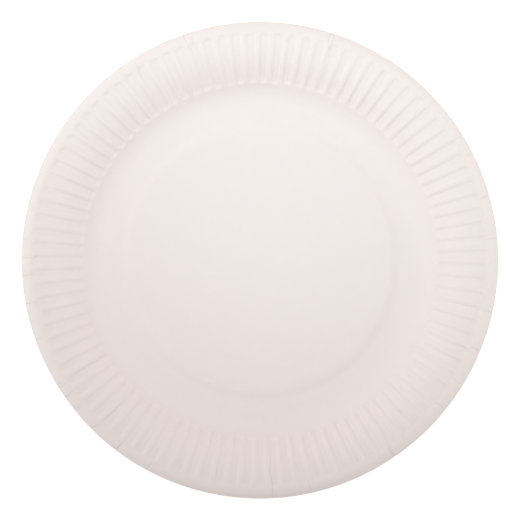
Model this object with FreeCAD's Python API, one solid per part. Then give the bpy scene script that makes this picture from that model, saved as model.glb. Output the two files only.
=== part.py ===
# Round paper plate, pressed from one disc of white board. Millimetres.
# Origin at the centre of the circle that the plate stands on, +Z up.
import FreeCAD, Part
import math
import os

doc = FreeCAD.newDocument("paper_plate")

# Driving sizes: name, value, meaning. Widths are measured level, along a radius, and follow each
# other inwards from the edge. The flat centre takes what they leave.
SIZES = (
    ("plate_diameter", 230.0, "Across the outer edge of the lip"),
    ("board_thickness", 0.4, "Thickness of the board"),
    ("lip_width", 5.6, "Outer curl that turns down"),
    ("lip_slope", 50.0, "Slope of the lip at its edge, in degrees"),
    ("crown_width", 4.4, "Level top of the rim, inside the lip"),
    ("shoulder_width", 12.0, "Bend from the rim's slope to its level top"),
    ("rim_width", 8.0, "Straight slope of the rim, outside the knee"),
    ("rim_slope", 35.0, "Slope of the rim, in degrees"),
    ("wall_width", 9.9, "Hollow wall that rises from the foot ring to the knee"),
    ("wall_slope", 42.0, "Slope of the wall at the knee, in degrees"),
    ("foot_width", 7.1, "Flat ring that the plate stands on"),
    ("step_width", 4.0, "Slope between the foot ring and the raised centre"),
    ("centre_rise", 1.3, "How far the centre lies above the foot ring"),
    ("flute_count", 99, "Flutes pressed into the rim"),
    ("flute_depth", 0.7, "How far a flute's floor lies below the ridges"),
    ("flute_share", 0.61, "Share of the pitch that a flute takes, from mid wall to mid wall"),
    ("flute_wall_slope", 30.0, "Slope of a flute's side walls, in degrees"),
    ("flute_end_slope", 28.0, "Slope of a flute's ends, in degrees"),
    ("flute_gap_inside", 1.0, "From the knee to the flutes"),
    ("flute_gap_outside", 0.4, "From the flutes to the lip"),
    ("first_ridge", -0.33, "Direction of the first ridge between flutes, in degrees from +X"),
)

# How many straight bands stand for each round stretch of the section.
WALL_BANDS = 3
SHOULDER_BANDS = 2
LIP_BANDS = 3

sheet = doc.addObject("Spreadsheet::Sheet", "sizes")
for row, (alias, value, meaning) in enumerate(SIZES, start=1):
    sheet.set(f"A{row}", meaning)
    sheet.set(f"B{row}", str(value))
    sheet.setAlias(f"B{row}", alias)
doc.recompute()


def degrees(alias):
    """An angle of the sheet, in radians."""
    return math.radians(sheet.get(alias))


thickness = sheet.board_thickness
depth = sheet.flute_depth
count = round(sheet.flute_count)
pitch = 2 * math.pi / count

# Radii where the parts of the section meet, from the edge inwards.
edge_radius = sheet.plate_diameter / 2
lip_radius = edge_radius - sheet.lip_width
crown_radius = lip_radius - sheet.crown_width
rim_radius = crown_radius - sheet.shoulder_width
knee_radius = rim_radius - sheet.rim_width
foot_outer_radius = knee_radius - sheet.wall_width
foot_inner_radius = foot_outer_radius - sheet.foot_width
centre_radius = foot_inner_radius - sheet.step_width


def bend(start, width, slope_in, slope_out, bands):
    """Points of a circular arc that leaves start at one slope and ends at another.

    The arc's radius is the level width over the change of the slope's sine.
    """
    radius = width / (math.sin(slope_out) - math.sin(slope_in))
    points = []
    for i in range(1, bands + 1):
        slope = slope_in + (slope_out - slope_in) * i / bands
        across = radius * (math.sin(slope) - math.sin(slope_in))
        rise = radius * (math.cos(slope_in) - math.cos(slope))
        points.append((start[0] + across, start[1] + rise))
    return points


def straight(start, width, slope):
    """The point that lies a level width further out along a slope."""
    return (start[0] + width, start[1] + width * math.tan(slope))


def board_line(shift):
    """Upper face of the board in section, as three runs of (radius, height) points.

    The runs are the dish up to the knee, the fluted rim and the lip. The rim's run holds the
    points where a ridge starts and ends, and just inside them where a flute's floor does. shift
    moves those outwards from the flute.
    """
    dish = [(centre_radius, thickness + sheet.centre_rise), (foot_inner_radius, thickness)]
    dish.append((foot_outer_radius, thickness))
    dish += bend(dish[-1], sheet.wall_width, 0, degrees("wall_slope"), WALL_BANDS)

    run_out = depth / math.tan(degrees("flute_end_slope"))
    slope = degrees("rim_slope")
    start = sheet.flute_gap_inside - shift
    rim = [straight(dish[-1], start, slope)]
    rim.append(straight(dish[-1], start + run_out * math.cos(slope), slope))
    rim.append(straight(dish[-1], sheet.rim_width, slope))
    rim += bend(rim[-1], sheet.shoulder_width, slope, 0, SHOULDER_BANDS)
    end = sheet.crown_width - sheet.flute_gap_outside + shift
    crown = rim[-1]
    rim.append(straight(crown, end - run_out, 0))
    rim.append(straight(crown, end, 0))

    lip = [straight(crown, sheet.crown_width, 0)]
    lip += bend(lip[-1], sheet.lip_width, 0, -degrees("lip_slope"), LIP_BANDS)
    return dish, rim, lip


def lowered(runs, distance):
    """The section's runs moved down by a distance at right angles to each band.

    At a bend the point moves along the line halfway between both bands' directions.
    """
    line = [point for run in runs for point in run]
    slopes = [math.atan2(b[1] - a[1], b[0] - a[0]) for a, b in zip(line, line[1:])]
    moved = []
    for point, inner, outer in zip(line, [0] + slopes, slopes + slopes[-1:]):
        middle = (inner + outer) / 2
        reach = distance / math.cos((outer - inner) / 2)
        moved.append((point[0] + reach * math.sin(middle), point[1] - reach * math.cos(middle)))
    split = [len(runs[0]), len(runs[0]) + len(runs[1])]
    return moved[: split[0]], moved[split[0] : split[1]], moved[split[1] :]


def turned(point, angle):
    """A point of the section, turned about the plate's axis."""
    return FreeCAD.Vector(point[0] * math.cos(angle), point[0] * math.sin(angle), point[1])


def panel(*corners):
    """A flat panel of the board's surface."""
    return Part.Face(Part.makePolygon([*corners, corners[0]]))


def bands(line, first, last):
    """Flat panels between two directions, one for each band of a line."""
    panels = []
    for a, b in zip(line, line[1:]):
        panels.append(panel(turned(a, first), turned(b, first), turned(b, last), turned(a, last)))
    return panels


def outline(point):
    """A closed line around the plate through a point of the section, with a corner at each ridge."""
    corners = [turned(point, k * pitch) for k in range(count)]
    return Part.makePolygon([*corners, corners[0]])


def flute_panels(dish, ridge, floor, lip, from_ridge, from_flute):
    """One face of the board from the middle of a ridge to the middle of the next.

    ridge and floor are rows of points. from_ridge and from_flute give the angle between such a
    row's point and the middle of its ridge or flute.
    """
    ridge_near = [turned(point, from_ridge(point)) for point in ridge]
    ridge_far = [turned(point, pitch - from_ridge(point)) for point in ridge]
    ridge_back = [turned(point, -from_ridge(point)) for point in ridge]
    floor_near = [turned(point, pitch / 2 - from_flute(point)) for point in floor]
    floor_far = [turned(point, pitch / 2 + from_flute(point)) for point in floor]

    step, wall = dish[:2], dish[2:]
    panels = bands(step, 0, pitch) + bands(wall, 0, pitch) + bands(lip, 0, pitch)
    for plain, i in ((dish[-1], 0), (lip[0], -1)):
        panels.append(panel(turned(plain, 0), turned(plain, pitch), ridge_far[i], ridge_near[i]))
        panels.append(panel(turned(plain, 0), ridge_near[i], ridge_back[i]))
        panels.append(panel(ridge_near[i], ridge_far[i], floor_far[i], floor_near[i]))
    for i in range(len(ridge) - 1):
        panels.append(panel(ridge_back[i], ridge_back[i + 1], ridge_near[i + 1], ridge_near[i]))
        panels.append(panel(floor_near[i], floor_near[i + 1], floor_far[i + 1], floor_far[i]))
        for high, low in ((ridge_near, floor_near), (ridge_far, floor_far)):
            panels.append(panel(high[i], high[i + 1], low[i + 1]))
            panels.append(panel(high[i], low[i + 1], low[i]))
    return panels


def board_face(below):
    """One face of the board, a distance below its upper face: panels and its outermost point."""
    widening = below * math.tan(degrees("flute_wall_slope") / 2)
    side = depth / math.tan(degrees("flute_wall_slope")) / 2
    runs = board_line(below * math.tan(degrees("flute_end_slope") / 2))
    dish, rim, lip = lowered(runs, below)
    deep_rim = lowered(runs, below + depth)[1]
    ridge = [rim[0], *rim[2:-2], rim[-1]]
    floor = deep_rim[1:-1]

    def from_ridge(point):
        return (1 - sheet.flute_share) * pitch / 2 - (side + widening) / point[0]

    def from_flute(point):
        return sheet.flute_share * pitch / 2 - (side - widening) / point[0]

    sector = Part.makeCompound(flute_panels(dish, ridge, floor, lip, from_ridge, from_flute))
    centre = Part.Face(outline(dish[0]))
    foot = Part.makeFace([outline(dish[2]), outline(dish[1])], "Part::FaceMakerBullseye")
    return [centre, foot, *around(sector)], lip[-1]


def around(sector):
    """The faces of a sector, repeated for every flute."""
    faces = []
    for k in range(count):
        copy = sector.copy()
        copy.rotate(FreeCAD.Vector(), FreeCAD.Vector(0, 0, 1), 360 * k / count)
        faces += copy.Faces
    return faces


# The plate: both faces of the board and the cut edge between them, joined into one solid. The
# flutes are too many and too shallow for a pattern of cuts, so the faces are made panel by panel.
top_faces, top_edge = board_face(0)
under_faces, under_edge = board_face(thickness)
cut_edge = around(Part.makeCompound(bands([top_edge, under_edge], 0, pitch)))
skin = Part.makeCompound(top_faces + under_faces + cut_edge)
skin.sewShape()
solid = Part.makeSolid(skin.Shells[0])
if solid.Volume < 0:
    solid.reverse()

plate = doc.addObject("Part::Feature", "plate")
plate.Label = "plate"
plate.Shape = solid
plate.Placement = FreeCAD.Placement(
    FreeCAD.Vector(0, 0, 0), FreeCAD.Rotation(FreeCAD.Vector(0, 0, 1), sheet.first_ridge)
)

doc.recompute()
for item in doc.Objects:
    if "Invalid" in item.State or "Error" in item.State:
        raise RuntimeError(f"{item.Label} failed: {item.State}")
if plate.Shape.isNull() or not plate.Shape.isValid() or len(plate.Shape.Solids) != 1:
    raise RuntimeError("the plate is not one valid solid")

os.makedirs("parts", exist_ok=True)
plate.Shape.exportStep(f"parts/{plate.Label}.step")
box = plate.Shape.BoundBox
print(f"plate {box.XLength:.2f} x {box.YLength:.2f} x {box.ZLength:.2f} mm, from z {box.ZMin:.3f}")
print(f"volume {plate.Shape.Volume:.1f} mm3, {len(plate.Shape.Faces)} faces")
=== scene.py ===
import math
import bpy
import numpy as np
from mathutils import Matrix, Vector


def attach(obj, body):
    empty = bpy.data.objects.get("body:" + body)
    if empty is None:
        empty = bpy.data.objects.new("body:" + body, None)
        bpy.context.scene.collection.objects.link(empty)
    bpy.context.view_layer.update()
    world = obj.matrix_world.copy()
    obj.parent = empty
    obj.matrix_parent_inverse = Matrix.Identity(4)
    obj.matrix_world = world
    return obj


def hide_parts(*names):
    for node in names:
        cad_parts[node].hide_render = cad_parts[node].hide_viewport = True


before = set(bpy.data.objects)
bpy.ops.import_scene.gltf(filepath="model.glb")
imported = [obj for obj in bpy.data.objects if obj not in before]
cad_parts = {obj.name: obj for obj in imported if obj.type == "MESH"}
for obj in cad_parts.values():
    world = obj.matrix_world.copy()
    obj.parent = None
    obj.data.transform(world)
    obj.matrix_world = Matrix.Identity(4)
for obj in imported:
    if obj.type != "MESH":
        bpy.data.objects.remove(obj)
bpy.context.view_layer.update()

# Plate. One disc of white paperboard, pressed between two dies into a flat centre, a standing
# ring, a hollow wall, a rim with 99 flutes and a lip that curls down. The disc has too much board
# for its rim, and the flutes and the sharp creases at the lip take up the spare. All in metres.
BOARD_THICKNESS = 0.0004
PLATE_RADIUS = 0.11497
FOOT_RADIUS = 0.0720

# Section of the board's upper face: radius, and slope there in degrees.
SECTION = np.array(
    [
        (0.0, 0.0),
        (0.0630, 0.0),
        (0.0650, -18.2),
        (0.0670, -18.2),
        (0.0690, 0.0),
        (0.0751, 0.0),
        (0.0851, 42.0),
        (0.0861, 34.6),
        (0.0930, 34.6),
        (0.1050, 0.0),
        (0.1094, 0.0),
        (PLATE_RADIUS, -50.0),
    ]
)
SECTION_SAMPLES = 8000


def board_section(radius):
    """Height and slope of the board's upper face at each radius.

    The sine of the slope runs straight from knot to knot, so that each bend is a circular arc.
    The height is the running sum of the slope's tangent, and starts at the standing ring.
    """
    table = np.linspace(0.0, PLATE_RADIUS, SECTION_SAMPLES)
    sine = np.interp(table, SECTION[:, 0], np.sin(np.radians(SECTION[:, 1])))
    tangent = np.tan(np.arcsin(sine))
    steps = (tangent[1:] + tangent[:-1]) / 2 * table[1]
    height = np.concatenate([[0.0], np.cumsum(steps)])
    height += BOARD_THICKNESS - np.interp(FOOT_RADIUS, table, height)
    return np.interp(radius, table, height), np.arcsin(np.interp(radius, table, sine))


# Flutes: shallow troughs with rounded ends, pressed down into the rim.
FLUTE_COUNT = 99
FLUTE_PITCH = 2 * math.pi / FLUTE_COUNT
FIRST_FLUTE = math.radians(1.49)
FLUTE_SHARE = 0.61
FLUTE_DEPTH = 0.0007
FLUTE_WALL = 0.0016
FLUTE_INNER_END = 0.0860
FLUTE_OUTER_END = 0.1093
FLUTE_CORNER = 0.75
FLUTE_SPREAD = {"depth": 0.08, "inner": 0.00012, "outer": 0.00015, "aside": 0.00006}
# The die isn't spaced quite evenly: direction in degrees, and how far the flutes there lie on
# round the plate, as a share of the pitch.
FLUTE_DRIFT = (
    (90, 0.0), (150, 0.14), (180, 0.10), (225, 0.0), (285, -0.10), (325, -0.08), (360, 0.0),
)
UNEVENNESS_SEED = 99

rng = np.random.default_rng(UNEVENNESS_SEED)
flute_depths = FLUTE_DEPTH * (1 - FLUTE_SPREAD["depth"] * rng.random(FLUTE_COUNT))
flute_inners = FLUTE_INNER_END + FLUTE_SPREAD["inner"] * rng.normal(size=FLUTE_COUNT)
flute_outers = FLUTE_OUTER_END + FLUTE_SPREAD["outer"] * rng.normal(size=FLUTE_COUNT)
flute_asides = FLUTE_SPREAD["aside"] * rng.normal(size=FLUTE_COUNT)


def flute_drop(radius, angle):
    """How far the board is pressed down at each point.

    A flute is a box with rounded corners, measured level, along and across its middle line. The
    drop goes from none to all over one wall's width as a smooth step of the signed distance to
    the box's outline.
    """
    at, share = np.array(FLUTE_DRIFT).T
    drift = np.interp(np.degrees(angle) % 360, at, share, period=360)
    turn = (angle - FIRST_FLUTE) / FLUTE_PITCH - drift
    flute = np.round(turn).astype(int) % FLUTE_COUNT
    across = np.abs((turn - np.round(turn)) * FLUTE_PITCH * radius - flute_asides[flute])
    half_width = FLUTE_SHARE / 2 * FLUTE_PITCH * radius
    corner = FLUTE_CORNER * half_width
    middle = (flute_inners + flute_outers)[flute] / 2
    half_length = (flute_outers - flute_inners)[flute] / 2
    along = np.abs(radius - middle) - half_length + corner
    side = across - half_width + corner
    outside = np.hypot(np.maximum(along, 0), np.maximum(side, 0))
    distance = outside + np.minimum(np.maximum(along, side), 0) - corner
    fall = np.clip(0.5 - distance / FLUTE_WALL, 0, 1)
    return flute_depths[flute] * fall**2 * (3 - 2 * fall)


# Creases: each is a line of (radius, direction in degrees, strength) from its inner end to the
# edge. Most are short and cross the lip. A few run on down the rim beside a flute's wall.
CREASES = (
    ((0.1082, 5.2, 0.3), (0.1110, 5.2, 0.6), (0.1152, 5.3, 0.5)),
    ((0.1086, 6.3, 0.2), (0.1152, 6.8, 0.5)),
    ((0.1096, 15.1, 0.2), (0.1125, 15.8, 0.7), (0.1152, 16.1, 0.6)),
    ((0.1088, 27.0, 0.3), (0.1152, 26.7, 0.5)),
    ((0.1086, 31.5, 0.4), (0.1110, 31.6, 0.6), (0.1152, 31.6, 0.5)),
    ((0.1092, 32.1, 0.2), (0.1152, 32.3, 0.5)),
    ((0.1086, 42.5, 0.4), (0.1152, 42.5, 0.5)),
    ((0.1088, 44.5, 0.3), (0.1110, 44.5, 0.5), (0.1152, 44.4, 0.3)),
    ((0.1086, 45.3, 0.5), (0.1110, 45.3, 0.5), (0.1152, 45.5, 0.4)),
    (
        (0.0850, 75.7, 0.1), (0.0915, 74.6, 0.2), (0.0975, 72.9, 0.3), (0.1020, 72.2, 0.5),
        (0.1080, 71.9, 0.6), (0.1105, 71.6, 0.6), (0.1152, 71.7, 0.5),
    ),
    ((0.1075, 72.0, 0.5), (0.1098, 72.5, 0.5), (0.1115, 72.7, 0.6), (0.1152, 72.7, 0.6)),
    ((0.1098, 81.7, 0.2), (0.1152, 81.5, 0.4)),
    (
        (0.0858, 105.4, 0.1), (0.0915, 105.4, 0.2), (0.1010, 106.0, 0.2), (0.1065, 106.8, 0.3),
        (0.1100, 107.1, 0.6), (0.1120, 106.8, 0.3), (0.1152, 106.9, 0.3),
    ),
    ((0.1072, 108.0, 0.4), (0.1098, 108.7, 0.5), (0.1130, 108.8, 0.6), (0.1152, 108.8, 0.7)),
    (
        (0.0850, 124.2, 0.2), (0.0915, 123.4, 0.3), (0.0965, 123.0, 0.3), (0.1015, 123.2, 0.3),
        (0.1079, 122.5, 0.6), (0.1130, 122.3, 0.3), (0.1152, 122.2, 0.1),
    ),
    ((0.1086, 126.0, 0.3), (0.1152, 126.2, 0.5)),
    ((0.1092, 140.1, 0.3), (0.1152, 140.1, 0.6)),
    (
        (0.0850, 146.2, 0.1), (0.0915, 146.1, 0.2), (0.0968, 145.7, 0.2), (0.1010, 144.9, 0.3),
        (0.1060, 144.5, 0.4), (0.1100, 144.7, 0.3), (0.1130, 144.9, 0.1),
    ),
    ((0.1098, 145.7, 0.2), (0.1152, 145.7, 0.4)),
    ((0.1094, 151.7, 0.3), (0.1152, 151.9, 0.4)),
    ((0.1094, 162.4, 0.3), (0.1152, 162.7, 0.3)),
    ((0.1098, 174.6, 0.2), (0.1152, 175.0, 0.7)),
    (
        (0.1066, 178.9, 0.3), (0.1080, 179.1, 0.7), (0.1098, 179.4, 0.5), (0.1113, 179.3, 0.6),
        (0.1152, 179.6, 0.6),
    ),
    ((0.1088, 182.8, 0.4), (0.1110, 182.6, 0.2), (0.1152, 182.5, 0.5)),
    ((0.1086, 183.6, 0.5), (0.1152, 183.7, 0.9)),
    ((0.1090, 190.7, 0.5), (0.1152, 190.5, 0.8)),
    ((0.1115, 195.3, 0.1), (0.1152, 195.1, 0.5)),
    ((0.1108, 199.5, 0.1), (0.1125, 199.6, 0.6), (0.1152, 199.5, 0.8)),
    ((0.1115, 206.2, 0.1), (0.1152, 206.2, 0.6)),
    ((0.1108, 206.7, 0.2), (0.1152, 206.8, 0.5)),
    (
        (0.0850, 211.5, 0.2), (0.0915, 211.8, 0.4), (0.0965, 211.6, 0.6), (0.1015, 211.7, 0.5),
        (0.1060, 211.8, 0.4), (0.1085, 211.4, 0.3), (0.1115, 211.5, 0.3), (0.1152, 211.7, 0.8),
    ),
    ((0.1080, 212.1, 0.4), (0.1098, 212.3, 0.6), (0.1125, 212.5, 0.6), (0.1152, 212.7, 0.7)),
    ((0.1086, 214.9, 0.4), (0.1110, 215.0, 0.8), (0.1152, 215.4, 0.9)),
    ((0.1098, 219.1, 0.2), (0.1125, 219.2, 0.7), (0.1152, 219.2, 0.8)),
    (
        (0.0930, 226.2, 0.3), (0.0965, 226.0, 0.6), (0.1015, 225.8, 0.7), (0.1055, 225.7, 0.6),
        (0.1098, 225.3, 0.4), (0.1115, 225.2, 0.7), (0.1152, 225.0, 0.9),
    ),
    ((0.1080, 225.5, 0.3), (0.1098, 225.7, 0.5), (0.1115, 225.7, 0.3), (0.1152, 226.2, 0.3)),
    ((0.1090, 233.1, 0.4), (0.1115, 232.9, 0.9), (0.1152, 232.8, 1.0)),
    ((0.1120, 236.7, 0.1), (0.1152, 236.7, 0.5)),
    ((0.1102, 241.9, 0.3), (0.1125, 241.7, 0.8), (0.1152, 241.6, 0.9)),
    (
        (0.0840, 258.4, 0.1), (0.0915, 258.3, 0.3), (0.1000, 258.2, 0.5), (0.1050, 258.5, 0.5),
        (0.1080, 258.3, 0.4), (0.1100, 258.2, 0.1),
    ),
    ((0.1030, 265.2, 0.2), (0.1050, 265.2, 0.5), (0.1080, 265.3, 0.3), (0.1100, 265.2, 0.1)),
    (
        (0.0881, 273.7, 0.1), (0.0915, 273.5, 0.3), (0.0963, 273.0, 0.5), (0.1012, 272.6, 0.7),
        (0.1050, 272.8, 0.6), (0.1080, 273.2, 0.5), (0.1113, 273.2, 0.8), (0.1152, 273.1, 0.6),
    ),
    ((0.1080, 282.4, 0.3), (0.1120, 282.4, 0.6), (0.1152, 282.4, 0.3)),
    ((0.1095, 294.9, 0.3), (0.1115, 295.0, 0.5), (0.1152, 294.7, 0.3)),
    (
        (0.0870, 306.3, 0.1), (0.0915, 306.2, 0.3), (0.0963, 305.9, 0.3), (0.1050, 305.3, 0.5),
        (0.1080, 305.0, 0.6), (0.1100, 304.7, 0.8), (0.1152, 304.6, 0.8),
    ),
    ((0.1080, 304.3, 0.3), (0.1100, 304.3, 0.7), (0.1152, 304.1, 0.8)),
    ((0.1085, 321.2, 0.3), (0.1110, 321.2, 0.7), (0.1152, 321.2, 0.9)),
    ((0.1070, 328.7, 0.2), (0.1098, 328.5, 0.5), (0.1152, 328.1, 0.3)),
    (
        (0.0954, 336.1, 0.2), (0.1012, 336.6, 0.5), (0.1080, 336.8, 0.5), (0.1100, 336.4, 0.3),
        (0.1152, 336.8, 0.4),
    ),
    ((0.1080, 337.0, 0.3), (0.1098, 337.4, 0.5), (0.1125, 337.6, 0.7), (0.1152, 337.6, 0.8)),
    (
        (0.0850, 347.1, 0.2), (0.0915, 347.5, 0.4), (0.0963, 347.8, 0.5), (0.1050, 347.8, 0.5),
        (0.1080, 347.7, 0.3), (0.1098, 347.2, 0.3), (0.1113, 347.4, 0.6), (0.1152, 347.4, 0.7),
    ),
    ((0.1098, 357.7, 0.1), (0.1152, 357.3, 0.3)),
)
CREASE_DEPTH = 0.00014
CREASE_HALF_WIDTH = 0.0002
CREASE_BUCKLE = 0.00008
CREASE_BUCKLE_WIDTH = 0.0009
CREASE_WANDER = 0.00016
# A crease draws the cut edge in a little, from nothing at the notch's start.
CREASE_NOTCH = 0.00025
CREASE_NOTCH_START = 0.1130

# Radii of the grid's rows. The dish has fewer columns than the rim, and the underside's rim has
# fewer than the upper face's.
DISH_COLUMNS = 396
RIM_PER_DISH = 4
RIM_COLUMNS = RIM_PER_DISH * DISH_COLUMNS
RIM_PER_UNDERSIDE = 2
DISH_ROWS = np.concatenate(
    [
        np.array([8, 17, 26, 35, 44, 52, 58]) / 1000,
        np.linspace(0.0629, 0.0691, 9),
        np.array([72.0, 74.9, 76.0, 77.0, 78.0]) / 1000,
    ]
)
RIM_ROWS = np.concatenate(
    [
        np.array([79.0, 80.4, 81.8, 83.0, 83.9, 84.6, 85.0, 85.4]) / 1000,
        np.linspace(0.0857, 0.0875, 4),
        np.array([88.5, 90.4, 92.8, 95.6, 98.6, 101.6, 104.2, 106.2]) / 1000,
        np.linspace(0.1072, 0.1098, 6),
        np.array([110.6, 111.5, 112.4, 113.2, 113.9, 114.5]) / 1000,
        [PLATE_RADIUS],
    ]
)
# How the grid follows the creases, in columns, but for the lead, which is in metres.
CREASE_REACH = 9
CREASE_REACH_GROWTH = 2
CREASE_GATHER = 0.6
CREASE_GATHER_WIDTH = 1.5
CREASE_SPACING = 0.5
CREASE_LEAD = 0.0025


def crease_lines(rows):
    """Direction, strength and pull of each crease at each row, as arrays of (crease, row).

    Direction and strength run straight between the crease's points. A small seeded wander makes
    the line uneven. The strength is nought inside of the first point, and there the pull on the
    grid falls from one to nought.
    """
    angles = np.empty((len(CREASES), len(rows)))
    strengths = np.empty_like(angles)
    pulls = np.empty_like(angles)
    for number, line in enumerate(CREASES):
        at, direction, strength = np.array(line).T
        angles[number] = np.radians(np.interp(rows, at, direction))
        strengths[number] = np.interp(rows, at, strength, left=0.0, right=0.0)
        pulls[number] = np.clip((rows - at[0]) / CREASE_LEAD + 1, 0, 1)
    angles += CREASE_WANDER * rng.normal(size=angles.shape) / rows
    return angles, strengths, pulls


def rim_columns(lines, pulls):
    """Direction of each grid point of the rim, as an array of (row, column).

    One even column runs along each crease that has begun. Columns near it are shifted with it,
    and the shift runs out over a number of columns that grows with the shift. They are also drawn
    towards it, by a bell curve of the number of columns between, so that the fold is sharp. Where
    two creases meet, the later one is moved on until it keeps its distance.
    """
    step = 2 * math.pi / RIM_COLUMNS
    order = np.argsort(lines[:, -1])
    taken = np.round(lines[:, -1] / step / 2).astype(int) * 2
    for before, after in zip(order, order[1:]):
        taken[after] = max(taken[after], taken[before] + 2)
    columns = np.arange(RIM_COLUMNS)
    gap = (columns[:, None] - taken + RIM_COLUMNS // 2) % RIM_COLUMNS - RIM_COLUMNS // 2
    gather = CREASE_GATHER * gap * np.exp(-((gap / CREASE_GATHER_WIDTH) ** 2))
    angle = np.empty((lines.shape[1], RIM_COLUMNS))
    for row, (line, pull) in enumerate(zip(lines.T, pulls.T)):
        begun = order[pull[order] > 0]
        for before, after in zip(begun, begun[1:]):
            line[after] = max(line[after], line[before] + CREASE_SPACING * step)
        shift = pull[begun] * (line[begun] - taken[begun] * step)
        reach = CREASE_REACH + CREASE_REACH_GROWTH * np.abs(shift) / step
        free = columns[(np.abs(gap[:, begun]) >= reach).all(axis=1)]
        known = np.concatenate([taken[begun], free])
        shifts = np.concatenate([shift, np.zeros(len(free))])
        drawn = columns - gather @ pull
        angle[row] = drawn * step + np.interp(drawn, known, shifts, period=RIM_COLUMNS)
    return angle


def crease_relief(radius, angle, lines, strengths, sides):
    """Drop of the board at each point from the creases, and how deep in a fold the point lies.

    Across a crease the fold is a bell curve. One side of it is buckled up and the other down,
    by a wider bell curve times the distance. Creases add up, and the fold takes the deepest.
    """
    fold = np.zeros(radius.shape)
    buckle = np.zeros(radius.shape)
    for line, strength, side in zip(lines, strengths, sides):
        apart = (angle - line[:, None] + math.pi) % (2 * math.pi) - math.pi
        across = apart * radius
        fold = np.maximum(fold, strength[:, None] * np.exp(-((across / CREASE_HALF_WIDTH) ** 2)))
        wide = across / CREASE_BUCKLE_WIDTH
        buckle += side * strength[:, None] * wide * np.exp(-(wide**2))
    return CREASE_DEPTH * fold + CREASE_BUCKLE * buckle, fold


# The board isn't quite true: its rim rises and falls a little, and its edge runs a little in and
# out, between two and eight times around.
WAVE_TURNS = np.arange(2, 9)
WAVE_RISE = 0.00006
WAVE_REACH = 0.00007
WAVE_START = 0.080
wave_phases = rng.uniform(0, 2 * math.pi, (2, len(WAVE_TURNS)))


def rim_waves(radius, angle, phases):
    """Sum of cosines around the plate, from -1 to 1, that grows from nought at the wall."""
    waves = np.cos(WAVE_TURNS * angle[..., None] + phases).sum(axis=-1) / len(WAVE_TURNS)
    return waves * np.clip((radius - WAVE_START) / (PLATE_RADIUS - WAVE_START), 0, 1)


def board_points(radius, angle, drop, notch):
    """Points of the board, (row, column, 3), at a distance below its plain section.

    The distance is measured at right angles to the section. The notch moves a point inwards.
    """
    height, slope = board_section(radius)
    out = radius + drop * np.sin(slope) - notch
    out += WAVE_REACH * (rim_waves(radius, angle, wave_phases[0]) - 1) * (radius > WAVE_START)
    up = height - drop * np.cos(slope)
    up += WAVE_RISE * (rim_waves(radius, angle, wave_phases[1]) - 1) * (radius > WAVE_START)
    return np.stack([out * np.cos(angle), out * np.sin(angle), up], axis=-1)


def ring_faces(start, rows, columns, turned_over):
    """Four-sided faces between neighbouring rows of a grid that closes on itself."""
    row, column = np.meshgrid(np.arange(rows - 1), np.arange(columns), indexing="ij")
    near = start + row * columns + column
    far = start + row * columns + (column + 1) % columns
    faces = np.stack([near, near + columns, far + columns, far], axis=-1).reshape(-1, 4)
    return (faces[:, ::-1] if turned_over else faces).tolist()


def joining_faces(few, fews, many, manys, turned_over):
    """Faces between a ring with few points and one with a whole number of times as many."""
    times = manys // fews
    column = np.arange(fews)[:, None]
    along = many + (column * times + np.arange(times + 1)) % manys
    faces = np.concatenate([few + column, along, few + (column + 1) % fews], axis=1)
    return (faces[:, ::-1] if turned_over else faces).tolist()


def plate_skin():
    """Points, faces and fold values of the whole plate: upper face, underside and cut edge.

    Each face of the board is a grid of radius by direction, with a pole in the middle. The
    underside lies one thickness below the upper face and has every second column of the rim.
    """
    lines, strengths, pulls = crease_lines(RIM_ROWS)
    sides = rng.choice([-1.0, 1.0], len(CREASES))
    rim_angle = rim_columns(lines, pulls)
    rim_radius = np.repeat(RIM_ROWS[:, None], RIM_COLUMNS, axis=1)
    relief, fold = crease_relief(rim_radius, rim_angle, lines, strengths, sides)
    drop = flute_drop(rim_radius, rim_angle) + relief
    at_edge = np.clip((RIM_ROWS - CREASE_NOTCH_START) / (PLATE_RADIUS - CREASE_NOTCH_START), 0, 1)
    notch = CREASE_NOTCH * fold * at_edge[:, None]
    dish_angle = np.repeat(rim_angle[:1, ::RIM_PER_DISH], len(DISH_ROWS), axis=0)
    dish_radius = np.repeat(DISH_ROWS[:, None], DISH_COLUMNS, axis=1)

    points = []
    folds = []
    faces = []
    starts = []
    count = 0
    for below, every in ((0.0, 1), (BOARD_THICKNESS, RIM_PER_UNDERSIDE)):
        columns = RIM_COLUMNS // every
        pole = board_points(np.zeros((1, 1)), np.zeros((1, 1)), below, 0.0)
        dish = board_points(dish_radius, dish_angle, below, 0.0)
        kept = np.s_[:, ::every]
        rim = board_points(rim_radius[kept], rim_angle[kept], drop[kept] + below, notch[kept])
        points += [pole.reshape(-1, 3), dish.reshape(-1, 3), rim.reshape(-1, 3)]
        folds += [np.zeros(1 + dish_radius.size), fold[kept].ravel()]
        first_dish = count + 1
        last_dish = first_dish + (len(DISH_ROWS) - 1) * DISH_COLUMNS
        first_rim = last_dish + DISH_COLUMNS
        last_rim = first_rim + (len(RIM_ROWS) - 1) * columns
        column = np.arange(DISH_COLUMNS)
        onward = (column + 1) % DISH_COLUMNS
        centre = np.full(DISH_COLUMNS, count)
        fan = np.stack([centre, first_dish + column, first_dish + onward], axis=1)
        faces += (fan[:, ::-1] if below else fan).tolist()
        faces += ring_faces(first_dish, len(DISH_ROWS), DISH_COLUMNS, bool(below))
        faces += joining_faces(last_dish, DISH_COLUMNS, first_rim, columns, bool(below))
        faces += ring_faces(first_rim, len(RIM_ROWS), columns, bool(below))
        starts.append(last_rim)
        count = last_rim + columns
    under_columns = RIM_COLUMNS // RIM_PER_UNDERSIDE
    faces += joining_faces(starts[1], under_columns, starts[0], RIM_COLUMNS, True)
    return np.concatenate(points), faces, np.concatenate(folds)


# The cut edge keeps a sharp corner on both sides. Every other bend is round.
CUT_EDGE_ANGLE = math.radians(75)

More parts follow.
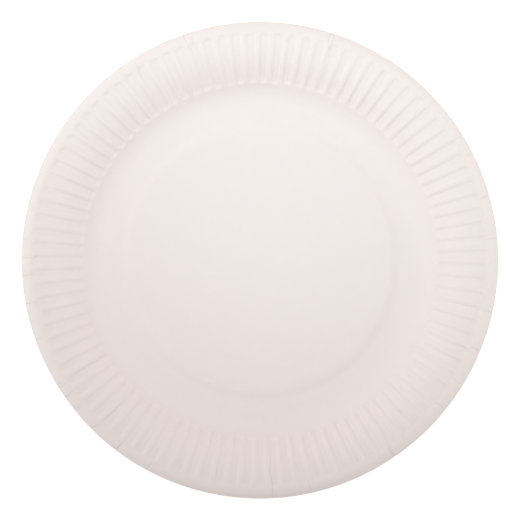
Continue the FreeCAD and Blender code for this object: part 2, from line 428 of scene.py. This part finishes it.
skin_points, skin_faces, skin_folds = plate_skin()
plate_mesh = bpy.data.meshes.new("paper_plate")
plate_mesh.from_pydata(skin_points, [], skin_faces)
plate_mesh.update()
plate_mesh.set_sharp_from_angle(angle=CUT_EDGE_ANGLE)
plate_mesh.attributes.new("fold", "FLOAT", "POINT").data.foreach_set("value", skin_folds)
plate = bpy.data.objects.new("paper_plate", plate_mesh)
bpy.context.scene.collection.objects.link(plate)

# Board: matt white paper with a trace of pink. Its fibres show as a very fine unevenness, its
# tone drifts a little towards cream and lavender, and the pressed folds are darkened brown by
# painted shade and soil.
BOARD_COLOUR = (0.855, 0.783, 0.762, 1.0)
CREAM_COLOUR = (0.861, 0.789, 0.751, 1.0)
LAVENDER_COLOUR = (0.847, 0.777, 0.773, 1.0)
# Painted shade and soil: the brown that is mixed into the board where it lies deep in a pressed
# fold.
FOLD_SHADE_AND_SOIL_COLOUR = (0.36, 0.26, 0.20, 1.0)
# Noise patterns: size of their patches in metres, detail and roughness.
TONE_NOISE = (0.006, 3.0, 0.6)
MOTTLE_NOISE = (0.0016, 2.0, 0.5)
FIBRE_NOISE = (0.00035, 3.0, 0.6)
# How a pattern becomes a share of a colour: lowest and highest value read, least and most share.
TONE_SPREAD = (0.35, 0.65, 0.0, 1.0)
MOTTLE_SPREAD = (0.4, 0.7, 0.0, 0.7)
FOLD_SHADE_AND_SOIL_SPREAD = (0.15, 1.0, 0.0, 0.5)
FIBRE_STRENGTH = 0.35
FIBRE_HEIGHT = 0.00004
BOARD_ROUGHNESS = 0.85
BOARD_SPECULAR = 0.25

board = bpy.data.materials.new("white_board")
board.use_nodes = True
nodes = board.node_tree.nodes
links = board.node_tree.links
shader = nodes["Principled BSDF"]
shader.inputs["Roughness"].default_value = BOARD_ROUGHNESS
shader.inputs["Specular IOR Level"].default_value = BOARD_SPECULAR
place = nodes.new("ShaderNodeTexCoord")


def board_noise(size, detail, roughness):
    """Noise on the board with patches of a set size."""
    noise = nodes.new("ShaderNodeTexNoise")
    noise.inputs["Scale"].default_value = 1 / size
    noise.inputs["Detail"].default_value = detail
    noise.inputs["Roughness"].default_value = roughness
    links.new(place.outputs["Object"], noise.inputs["Vector"])
    return noise.outputs["Fac"]


def board_spread(value, low, high, least, most):
    """The value, stretched from low..high to least..most and held there."""
    spread = nodes.new("ShaderNodeMapRange")
    spread.inputs["From Min"].default_value = low
    spread.inputs["From Max"].default_value = high
    spread.inputs["To Min"].default_value = least
    spread.inputs["To Max"].default_value = most
    links.new(value, spread.inputs["Value"])
    return spread.outputs["Result"]


def board_colours(share, under, over):
    """Mix of two colours by a share, each a colour or a socket."""
    mix = nodes.new("ShaderNodeMix")
    mix.data_type = "RGBA"
    links.new(share, mix.inputs["Factor"])
    sockets = [socket for socket in mix.inputs if socket.type == "RGBA"]
    for value, socket in zip((under, over), sockets):
        if isinstance(value, bpy.types.NodeSocket):
            links.new(value, socket)
        else:
            socket.default_value = value
    return next(socket for socket in mix.outputs if socket.type == "RGBA")


tone = board_spread(board_noise(*TONE_NOISE), *TONE_SPREAD)
mottle = board_spread(board_noise(*MOTTLE_NOISE), *MOTTLE_SPREAD)
fold_mark = nodes.new("ShaderNodeAttribute")
fold_mark.attribute_name = "fold"
# Painted shade and soil in the folds: the deeper a point lies in a fold, the more of the brown its
# colour takes.
fold_shade_and_soil = board_spread(fold_mark.outputs["Fac"], *FOLD_SHADE_AND_SOIL_SPREAD)
colour = board_colours(tone, BOARD_COLOUR, CREAM_COLOUR)
colour = board_colours(mottle, colour, LAVENDER_COLOUR)
colour = board_colours(fold_shade_and_soil, colour, FOLD_SHADE_AND_SOIL_COLOUR)
links.new(colour, shader.inputs["Base Color"])

fibre = nodes.new("ShaderNodeBump")
fibre.inputs["Strength"].default_value = FIBRE_STRENGTH
fibre.inputs["Distance"].default_value = FIBRE_HEIGHT
links.new(board_noise(*FIBRE_NOISE), fibre.inputs["Height"])
links.new(fibre.outputs["Normal"], shader.inputs["Normal"])
plate_mesh.materials.append(board)

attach(plate, "root")
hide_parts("plate")

# Floor. A plain white sheet that the plate stands on. The camera and shiny or clear things see it
# as white, and it is darker only where the plate's shadow is deep.
FLOOR_SIZE = 3.0
FLOOR_COLOUR = (0.9, 0.9, 0.9, 1.0)
FLOOR_GLOW = 0.62
FLOOR_DROP = 0.00003
WHITE = (1.0, 1.0, 1.0, 1.0)
SEEN_RAYS = ("Is Camera Ray", "Is Glossy Ray", "Is Transmission Ray")


def seen_rays(tree):
    """A socket that is 1 for rays that show a surface as it looks, and 0 for those that light."""
    ray = tree.nodes.new("ShaderNodeLightPath")
    seen = ray.outputs[SEEN_RAYS[0]]
    for kind in SEEN_RAYS[1:]:
        either = tree.nodes.new("ShaderNodeMath")
        either.operation = "MAXIMUM"
        tree.links.new(seen, either.inputs[0])
        tree.links.new(ray.outputs[kind], either.inputs[1])
        seen = either.outputs["Value"]
    return seen


bpy.ops.mesh.primitive_plane_add(size=FLOOR_SIZE, location=(0.0, 0.0, -FLOOR_DROP))
floor = bpy.context.object
floor.name = "floor"
floor_paint = bpy.data.materials.new("floor_white")
floor_paint.use_nodes = True
floor_nodes = floor_paint.node_tree.nodes
floor_links = floor_paint.node_tree.links
floor_shader = floor_nodes["Principled BSDF"]
floor_shader.inputs["Base Color"].default_value = FLOOR_COLOUR
floor_shader.inputs["Roughness"].default_value = 1.0
floor_shader.inputs["Specular IOR Level"].default_value = 0.0
floor_seen = floor_nodes.new("ShaderNodeMath")
floor_seen.operation = "MULTIPLY"
floor_seen.inputs[1].default_value = FLOOR_GLOW
floor_links.new(seen_rays(floor_paint.node_tree), floor_seen.inputs[0])
floor_links.new(floor_seen.outputs["Value"], floor_shader.inputs["Emission Strength"])
floor_shader.inputs["Emission Color"].default_value = WHITE
floor.data.materials.append(floor_paint)

# Light. A white tent all round, a low strip lamp on the left and right, and three soft spots. Two
# spots are aimed at the far side of the plate, so that the near side is a little darker. The third
# is wide. The tent is a trace warmer than the spots, and no lamp shows in the picture.
TENT_STRENGTH = 0.593
TENT_COLOUR = (1.0, 0.945, 0.94, 1.0)
STRIPS = (("left_strip", (-0.5, 0.0, 0.05), 0.34), ("right_strip", (0.5, 0.0, 0.05), 0.34))
STRIP_LENGTH = 0.4
STRIP_WIDTH = 0.08
# Each spot's name, place, target, the radius that it lights at its distance, power and tint.
SPOTS = (
    ("top_spot", (0.0, 0.0, 1.5), (0.08, 0.13, 0.0), 0.32, 27.0, (0.89, 1.0, 1.0)),
    ("left_spot", (-0.330, 0.393, 1.410), (-0.08, 0.13, 0.0), 0.32, 14.7, (0.92, 1.0, 1.0)),
    ("wide_spot", (-0.553, 0.659, 1.229), (0.0, 0.0, 0.0), 0.80, 10.65, (0.98, 1.0, 1.0)),
)
SPOT_DISTANCE = 1.5
SPOT_RADIUS = 0.12

tent = bpy.data.worlds.new("tent")
tent.use_nodes = True
tent_nodes = tent.node_tree.nodes
tent_links = tent.node_tree.links
tent_light = tent_nodes["Background"]
tent_light.inputs["Color"].default_value = TENT_COLOUR
tent_light.inputs["Strength"].default_value = TENT_STRENGTH
tent_white = tent_nodes.new("ShaderNodeBackground")
tent_white.inputs["Color"].default_value = WHITE
tent_seen = tent_nodes.new("ShaderNodeMixShader")
tent_links.new(seen_rays(tent.node_tree), tent_seen.inputs["Fac"])
tent_links.new(tent_light.outputs["Background"], tent_seen.inputs[1])
tent_links.new(tent_white.outputs["Background"], tent_seen.inputs[2])
tent_links.new(tent_seen.outputs["Shader"], tent_nodes["World Output"].inputs["Surface"])
bpy.context.scene.world = tent


def hang_lamp(name, kind, place_of_lamp, target, power, tint):
    """A lamp of one kind at a place, turned to face its target."""
    light = bpy.data.lights.new(name, kind)
    light.energy = power
    light.color = tint
    lamp = bpy.data.objects.new(name, light)
    lamp.location = place_of_lamp
    toward = Vector(target) - lamp.location
    lamp.rotation_euler = toward.to_track_quat("-Z", "Y").to_euler()
    lamp.visible_camera = False
    bpy.context.scene.collection.objects.link(lamp)
    return light


for name, place_of_strip, power in STRIPS:
    facing = (0.0, 0.0, place_of_strip[2])
    strip = hang_lamp(name, "AREA", place_of_strip, facing, power, WHITE[:3])
    strip.shape = "RECTANGLE"
    strip.size = STRIP_LENGTH
    strip.size_y = STRIP_WIDTH
for name, place_of_spot, target, reach, power, tint in SPOTS:
    spot = hang_lamp(name, "SPOT", place_of_spot, target, power, tint)
    spot.spot_size = 2 * math.atan(reach / SPOT_DISTANCE)
    spot.spot_blend = 1.0
    spot.shadow_soft_size = SPOT_RADIUS

# Camera. Straight above the plate, as in the photograph, with a long lens. The frame's width is
# measured at the height of the rim.
CAMERA_DISTANCE = 2.0
CAMERA_ASIDE = (0.00007, 0.00009)
RIM_HEIGHT = 0.0113
FRAME_WIDTH = 0.25048
SENSOR_WIDTH = 36.0

lens = bpy.data.cameras.new("camera")
lens.sensor_width = SENSOR_WIDTH
lens.lens = SENSOR_WIDTH * CAMERA_DISTANCE / FRAME_WIDTH
camera = bpy.data.objects.new("camera", lens)
camera.location = (*CAMERA_ASIDE, CAMERA_DISTANCE + RIM_HEIGHT)
bpy.context.scene.collection.objects.link(camera)
bpy.context.scene.camera = camera
bpy.context.scene.view_settings.view_transform = "Standard"
